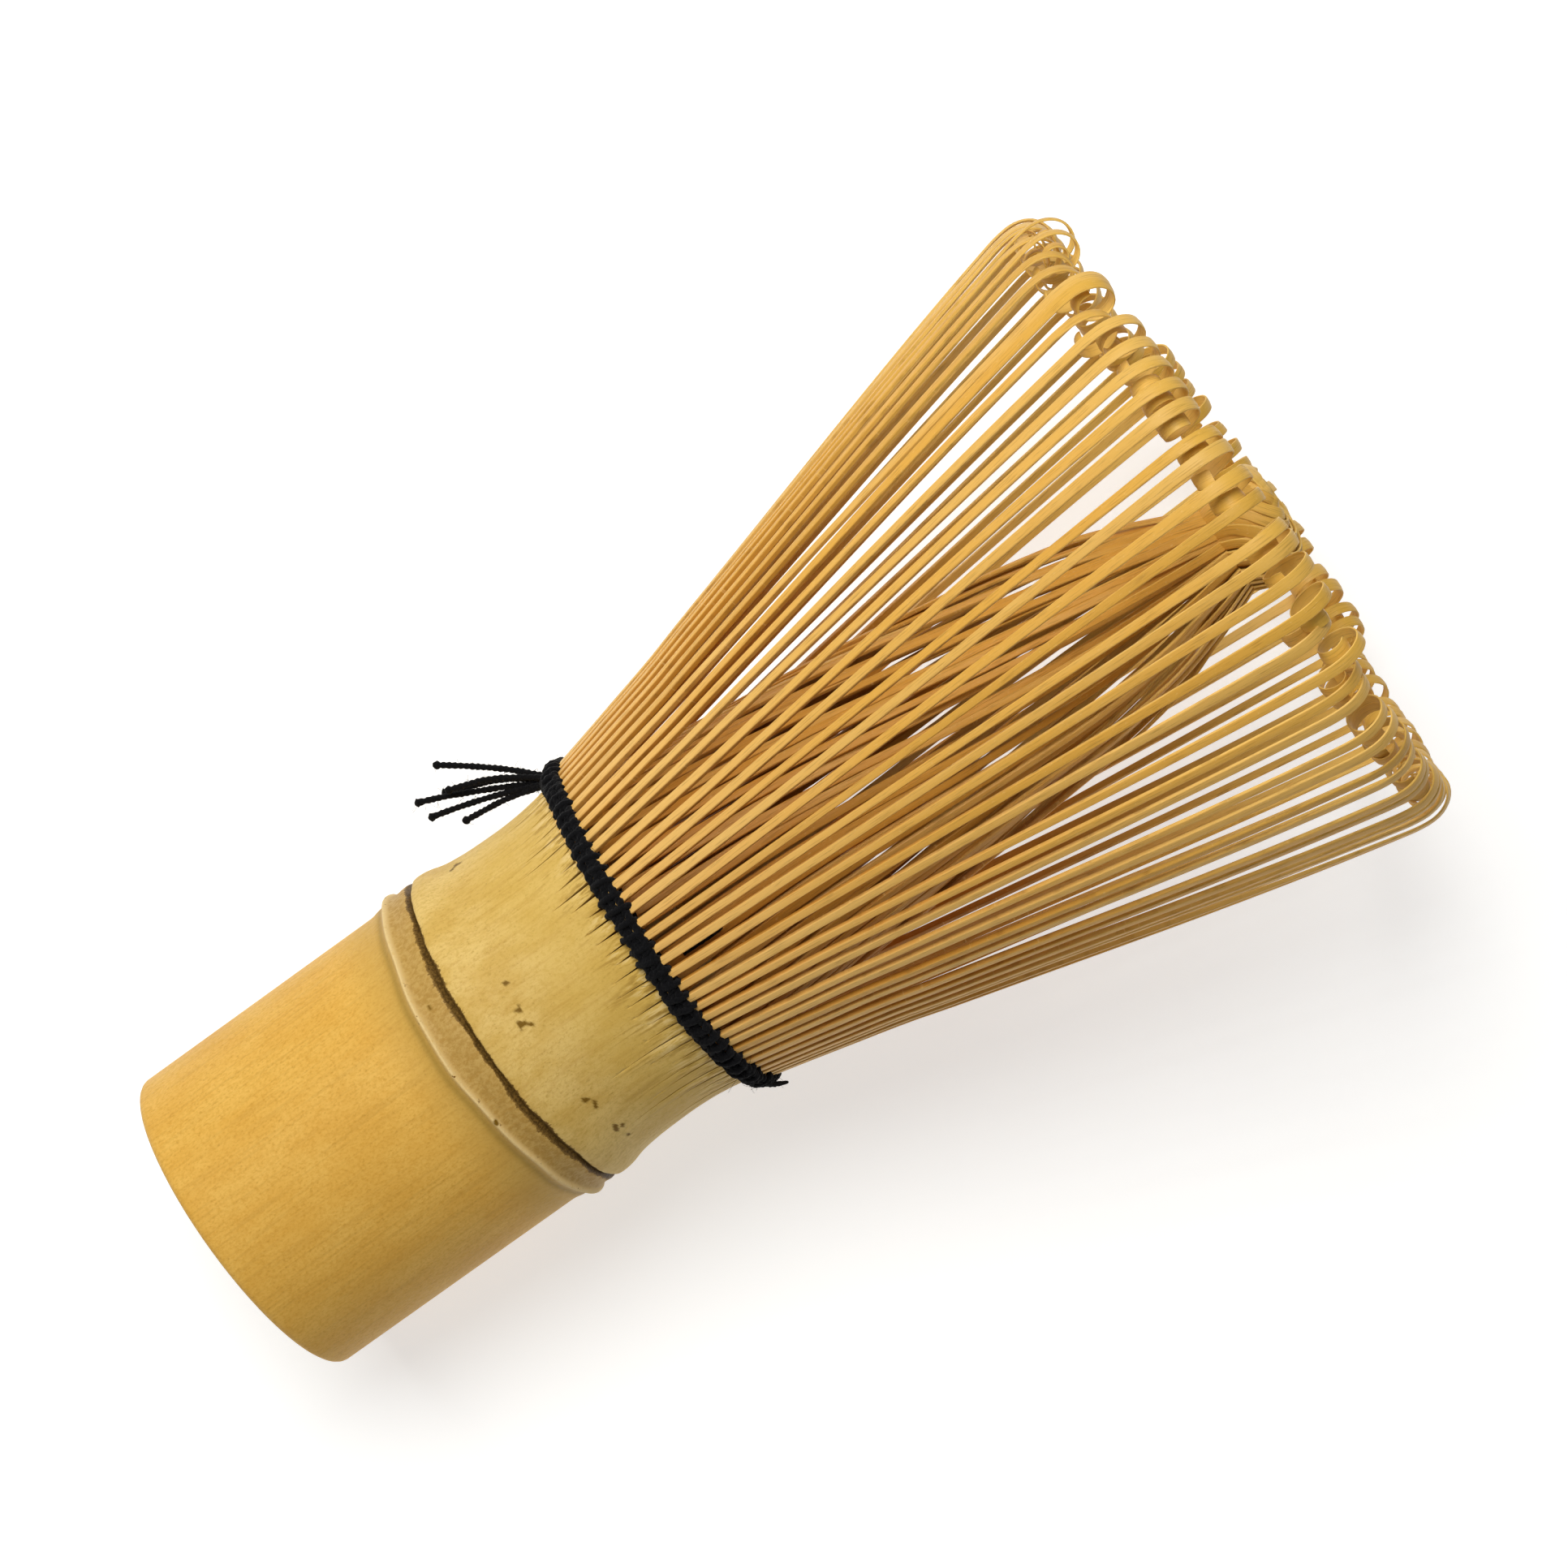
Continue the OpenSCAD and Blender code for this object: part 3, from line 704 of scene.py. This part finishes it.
def make_inner_tines():
    rng = np.random.default_rng(31)
    tuft = Parts()
    for n in range(SPLITS):
        parts = Parts()
        bunch = rng.normal(0, 1.0)
        for k in range(PER_SPLIT):
            azimuth = 360 / SPLITS * n + PITCH * (k - (PER_SPLIT - 1) / 2)
            layer = (n * PER_SPLIT + k) % LAYERS
            z = np.concatenate([np.arange(46.4, 100, 2.4), np.arange(100.2, NECK_Z - 0.2, 1.0),
                                [NECK_Z]])
            up = smooth(z, 50, 100)
            free = up * (1 - smooth(z, 98, NECK_Z))
            deep = layer * LAYER_GAP * smooth(z, 70, 106)
            r = spline(z, BUNDLE_R) - deep + free * rng.normal(0, 0.55)
            a = azimuth + 14 * smooth(z, 60, NECK_Z) + (bunch + rng.normal(0, 1.3)) * up \
                + rng.normal(0, 1.5) * sind((z - 46) * 2.8) * up
            out, aside = radial(a)
            path = out * r[:, None] + np.stack([spline(z, BUNDLE_X), 0 * z, z], 1)
            tone = rng.normal(0.05, 0.3)
            u_shift, v_shift = rng.uniform(0, 60), rng.uniform(0, 30)
            tilt = 20 * smooth(z, 90, 106)
            width = spline(z, INNER_WIDTH) * rng.uniform(0.9, 1.1)
            slope = np.gradient(r, z)
            outward = tilted(out, aside, tilt) - UP * slope[:, None]
            along = np.clip((z - 46) / 80, 0, 1)
            end = ribbon(parts, path, outward, width, spline(z, INNER_THICK), u_shift, v_shift,
                         along=along, tone=tone)
            tuft_strip(tuft, a[-1], layer, width[-1], tone, u_shift, end, rng)
        name = f"{n + 1:02d}"
        parts.piece(f"inner_tine_strips_{name}", INNER, "inner_tine",
                    stands_for=[f"inner_tines_{name}"], sharp=35)
    tuft.piece("tuft_strips", INNER, "inner_tine", stands_for=["inner_tuft"], sharp=35)


def tuft_strip(parts, azimuth, layer, width, tone, u_shift, v_start, rng):
    """The end of one inner tine, wound over the top of the tuft and tucked into its middle."""
    t = np.linspace(0, 1, 26)
    r = spline(t, TUFT_R) - layer * (LAYER_GAP + 0.1 * t) * np.clip(1.2 - t, 0, 1)
    r = np.maximum(r + 0.12 * rng.normal() * sind(180 * t), 0.5)
    z = spline(t, TUFT_Z) - layer * LAYER_GAP * smooth(t, 0.3, 0.75)
    z = z + 0.1 * rng.normal() * sind(180 * t)
    a = azimuth + spline(t, TUFT_TURN) * rng.uniform(0.9, 1.1)
    out, aside = radial(a)
    aim = smooth(t, 0.4, 1)
    hole_x, hole_y, hole_z = TUFT_HOLE
    path = out * r[:, None] + np.stack([spline(z, BUNDLE_X) + hole_x * aim, hole_y * aim,
                                        z + hole_z * aim], 1)
    # Away from the tuft's middle, with each strip tilted over its neighbour
    outward = unit(out * (spline(t, TUFT_R)[:, None] / 5) + UP * ((z - 112.6) / 3.4)[:, None])
    outward = unit(outward + aside * sind(30 + 10 * rng.normal()))
    wide = width + (rng.uniform(0.95, 1.5) - width) * smooth(t, 0, 0.3) - 0.5 * smooth(t, 0.6, 1)
    ribbon(parts, path, outward, wide, 0.2, u_shift, v_start, along=0.82 + 0.18 * t, tone=tone * 1.6)


# ---------------------------------------------------------------- thread

ROW_THREAD_R, STITCH_R, TAIL_R = 0.34, 0.3, 0.29


def tine_face_r(z):
    """Radius of the outer tines' outer face near the thread."""
    return OUTER_ROOT[0] + 0.27 + (z - OUTER_ROOT[1]) * math.tan(math.radians(13))


def make_rows():
    """Three rows of thread outside the tines, and one between the outer and the inner tines."""
    rng = np.random.default_rng(41)
    a = np.linspace(-180, 180, 1100, endpoint=False)
    for n in range(3):
        shift, phase = (n - 1) * 0.56, rng.uniform(0, 360)
        z = band_z(a) + shift + 0.09 * sind(7 * a + phase) + 0.06 * sind(80 * a + 180 * n)
        r = tine_face_r(z) + 0.24 + 0.09 * cosd(80 * (a + 2.25)) + 0.06 * sind(11 * a + phase)
        parts = Parts()
        strand(parts, around(a, r, z), ROW_THREAD_R, twist=1.25, lobes=0.17, phase=phase, closed=True)
        if n == 1:
            make_stitches(parts, rng)
        parts.piece(f"binding_row_{n + 1}", THREAD, "thread", stands_for=[f"thread_row_{n + 1}"],
                    sharp=70)
    a = a[::3]
    r = 15.45 + 0.2 * cosd(80 * a)
    z = band_z(a) + 0.5 + 0.3 * cosd(40 * a)
    parts = Parts()
    strand(parts, around(a, r, z), 0.32, closed=True)
    # A bit of it stands up between two tines at the front
    up = np.linspace(0, 1, 12)
    strand(parts, around(-78.6 + up, 15.35 - 0.25 * up, 50.6 + 4.2 * up), 0.36 * (1 - 0.5 * up ** 4))
    parts.piece("binding_inner_row", THREAD, "thread", stands_for=["thread_inner_row"], sharp=70)


def make_stitches(parts, rng):
    """In each gap the thread passes in between the tines, over the rows and back in."""
    t = np.linspace(0, 1, 17)
    for k in range(TINES):
        a = PITCH * (k + 0.5) + rng.normal(0, 0.25)
        middle = band_z(a)
        reach = 0.96 + rng.normal(0, 0.08)
        z = middle - reach * cosd(180 * t) + 0.1 * rng.normal()
        r = tine_face_r(z) - 0.55 + (1.12 + 0.08 * rng.normal()) * sind(180 * t) ** 0.7
        slant = a + (t - 0.5) * rng.uniform(1.0, 2.2)
        path = around(slant, r, z)
        strand(parts, path, STITCH_R, twist=1.1, sides=8, phase=rng.uniform(0, 6))
    # The thread's first end stands off as a short stub
    t = np.linspace(0, 1, 14)
    a = -9 + 9 * t
    z = band_z(a) + 1.3 * t ** 2
    r = tine_face_r(z) + 0.45 + 0.75 * t
    strand(parts, around(a, r, z), STITCH_R * (1 - 0.5 * t ** 3), sides=8)


KNOT_DIR, KNOT_R, KNOT_Z = 152, 18.2, 47.5
# Where each thread end stops: outwards from the knot, up, sideways, and how far it leaves outwards
TAIL_ENDS = [(9.1, -10.1, 0.9, 5.2), (7.4, -11.1, -1.2, 4.9), (5.8, -10.2, 1.8, 4.4),
             (7.2, -13.6, 0.3, 3.6), (5.8, -13.4, -1.0, 3.0), (4.1, -11.0, -2.2, 1.6)]


def knot_point(outward, up, aside):
    """Points given from the knot's middle: away from the axis, up, and along the binding."""
    out, along = radial(np.array(float(KNOT_DIR)))
    outward, up, aside = (np.asarray(v, float) for v in (outward, up, aside))
    return (out * (KNOT_R + outward)[..., None] + along * aside[..., None]
            + UP * (KNOT_Z + up)[..., None])


def make_knot_and_tails():
    """Two small trefoils of thread as the knot, and six loose ends that leave it and droop."""
    rng = np.random.default_rng(53)
    parts = Parts()
    t = np.linspace(0, 360, 150, endpoint=False)
    for scale, turn, lift in ((0.42, 0, 0.1), (0.36, 50, -0.35)):
        ring = 2 + cosd(3 * t)
        path = knot_point(scale * sind(3 * t) * 1.1, lift + scale * ring * cosd(2 * t + turn) * 0.8,
                          scale * ring * sind(2 * t + turn) * 0.9)
        strand(parts, path, 0.31)
    parts.piece("knot", THREAD, "thread", stands_for=["thread_knot"], sharp=70)
    for n, (outward, up, aside, leave) in enumerate(TAIL_ENDS):
        t = np.linspace(0, 1, 90)
        start = np.array([0.1, -0.3 - 0.1 * (n % 3), 0.35 * (n % 3 - 1)])
        end = np.array([outward, up, aside])
        first = np.array([leave * 0.55, -0.25 * abs(up), aside * 0.1 + 0.3 * (n % 3 - 1)])
        second = start + (end - start) * 0.6 + np.array([0.5, 0.6, 0])
        b = [(1 - t) ** 3, 3 * t * (1 - t) ** 2, 3 * t * t * (1 - t), t ** 3]
        local = sum(w[:, None] * p for w, p in zip(b, (start, first, second, end)))
        local[:, 0] += 0.1 * rng.normal() * sind(540 * t + rng.uniform(0, 360)) * t
        local[:, 2] += 0.16 * rng.normal() * sind(400 * t + rng.uniform(0, 360)) * t
        bead = 0.12 * smooth(t, 0.955, 0.975) * (1 - smooth(t, 0.985, 1.01))
        radius = TAIL_R * (1 + 0.05 * sind(t * 2100)) + bead
        radius[-1] *= 0.6
        parts = Parts()
        path = knot_point(local[:, 0], local[:, 1], local[:, 2])
        strand(parts, path, radius, twist=1.15, lobes=0.16, phase=rng.uniform(0, 6))
        fuzz(parts, path[8:], 44, 0.35, rng)
        parts.piece(f"thread_end_{n + 1}", THREAD, "thread", stands_for=[f"thread_tail_{n + 1}"],
                    sharp=70)


def fuzz(parts, path, count, reach, rng):
    """Fine loose fibres that stand off a thread."""
    for _ in range(count):
        i = rng.integers(0, len(path))
        away = unit(rng.normal(0, 1, 3))
        bend = unit(rng.normal(0, 1, 3))
        t = np.linspace(0, 1, 7)[:, None]
        long = reach + 0.9 * rng.random() ** 2
        hair = path[i] + away * (0.2 + long * t) + bend * (0.5 * long * t * t)
        strand(parts, hair, 0.015, lobes=0, sides=3)


def make_band_fuzz():
    rng = np.random.default_rng(61)
    a = np.linspace(-180, 180, 400)
    parts = Parts()
    for shift in (-0.8, 0.0, 0.8):
        z = band_z(a) + shift
        r = tine_face_r(z) + 0.35
        fuzz(parts, around(a, r, z), 110, 0.25, rng)
    parts.piece("binding_fuzz", THREAD, "thread", sharp=70)


# ---------------------------------------------------------------- stage

def make_stage():
    """A pale sheet behind the whisk that shows from the front only."""
    material = bpy.data.materials.new("stage_white")
    material.use_nodes = True
    nodes, links = material.node_tree.nodes, material.node_tree.links
    shader = nodes["Principled BSDF"]
    shader.inputs["Base Color"].default_value = (0.62, 0.64, 0.64, 1)
    shader.inputs["Emission Color"].default_value = (1, 0.985, 0.985, 1)
    shader.inputs["Emission Strength"].default_value = 0.58
    shader.inputs["Roughness"].default_value = 0.9
    shader.inputs["Specular IOR Level"].default_value = 0.1
    clear = nodes.new("ShaderNodeBsdfTransparent")
    facing = nodes.new("ShaderNodeNewGeometry")
    blend = nodes.new("ShaderNodeMixShader")
    links.new(facing.outputs["Backfacing"], blend.inputs[0])
    links.new(shader.outputs[0], blend.inputs[1])
    links.new(clear.outputs[0], blend.inputs[2])
    links.new(blend.outputs[0], nodes["Material Output"].inputs["Surface"])
    mesh = bpy.data.meshes.new("backdrop")
    # It passes close behind the handle's base, and leans back to clear the tines' widest pose
    reach, lean, base_y = 500, 0.226, 16.1
    corners = [(x, base_y + lean * z, z) for x, z in
               ((-reach, -reach), (reach, -reach), (reach, reach), (-reach, reach))]
    mesh.from_pydata([Vector(c) * MM for c in corners], [], [(0, 1, 2, 3)])
    mesh.materials.append(material)
    backdrop = bpy.data.objects.new("backdrop", mesh)
    bpy.context.scene.collection.objects.link(backdrop)


def add_light(name, place, size, power, colour):
    """A round area light at a place in metres, turned to the whisk's middle."""
    light = bpy.data.lights.new(name, "AREA")
    light.shape, light.size, light.energy, light.color = "DISK", size, power, colour
    obj = bpy.data.objects.new(name, light)
    middle = Vector((0, 0, 62)) * MM
    obj.location = Vector(place)
    obj.rotation_euler = (middle - obj.location).to_track_quat("-Z", "Y").to_euler()
    bpy.context.scene.collection.objects.link(obj)


def make_lights():
    world = bpy.data.worlds.new("studio")
    world.use_nodes = True
    background = world.node_tree.nodes["Background"]
    background.inputs["Color"].default_value = (1.0, 0.995, 0.985, 1)
    background.inputs["Strength"].default_value = 0.16
    bpy.context.scene.world = world
    add_light("key", (-0.34, -0.61, 0.17), 0.5, 5.1, (1.0, 0.985, 0.955))
    add_light("fill", (0.25, -0.6, 0.5), 0.6, 0.25, (1.0, 0.99, 0.97))


def make_camera():
    """Looks at the whisk 7 degrees from above, turned so that it lies across the picture."""
    elevation, roll, distance, field = 7.0, 54.37, 473.0, 17.2
    target = np.array([-3.85, 0, 64.9])
    back = np.array([0, -cosd(elevation), sind(elevation)])
    right = np.array([1.0, 0, 0])
    up = np.cross(back, right)
    across = cosd(roll) * right + sind(roll) * up
    upward = -sind(roll) * right + cosd(roll) * up
    camera = bpy.data.cameras.new("camera")
    camera.sensor_width = 36
    camera.lens = 18 / math.tan(math.radians(field / 2))
    camera.clip_start = 0.01
    obj = bpy.data.objects.new("camera", camera)
    matrix = Matrix.Identity(4)
    place = (target + back * distance) * MM
    for row in range(3):
        matrix[row][0], matrix[row][1], matrix[row][2] = across[row], upward[row], back[row]
        matrix[row][3] = place[row]
    obj.matrix_world = matrix
    bpy.context.scene.collection.objects.link(obj)
    bpy.context.scene.camera = obj
    bpy.context.scene.view_settings.view_transform = "Standard"


make_camera()
make_handle()
make_node_band()
make_collar()
make_outer_tines()
make_inner_tines()
make_rows()
make_knot_and_tails()
make_band_fuzz()
# The diaphragm keeps its CAD shape and only takes the look of cut bamboo
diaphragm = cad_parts["node_diaphragm"].data
diaphragm.materials.clear()
diaphragm.materials.append(PITH)
make_stage()
make_lights()
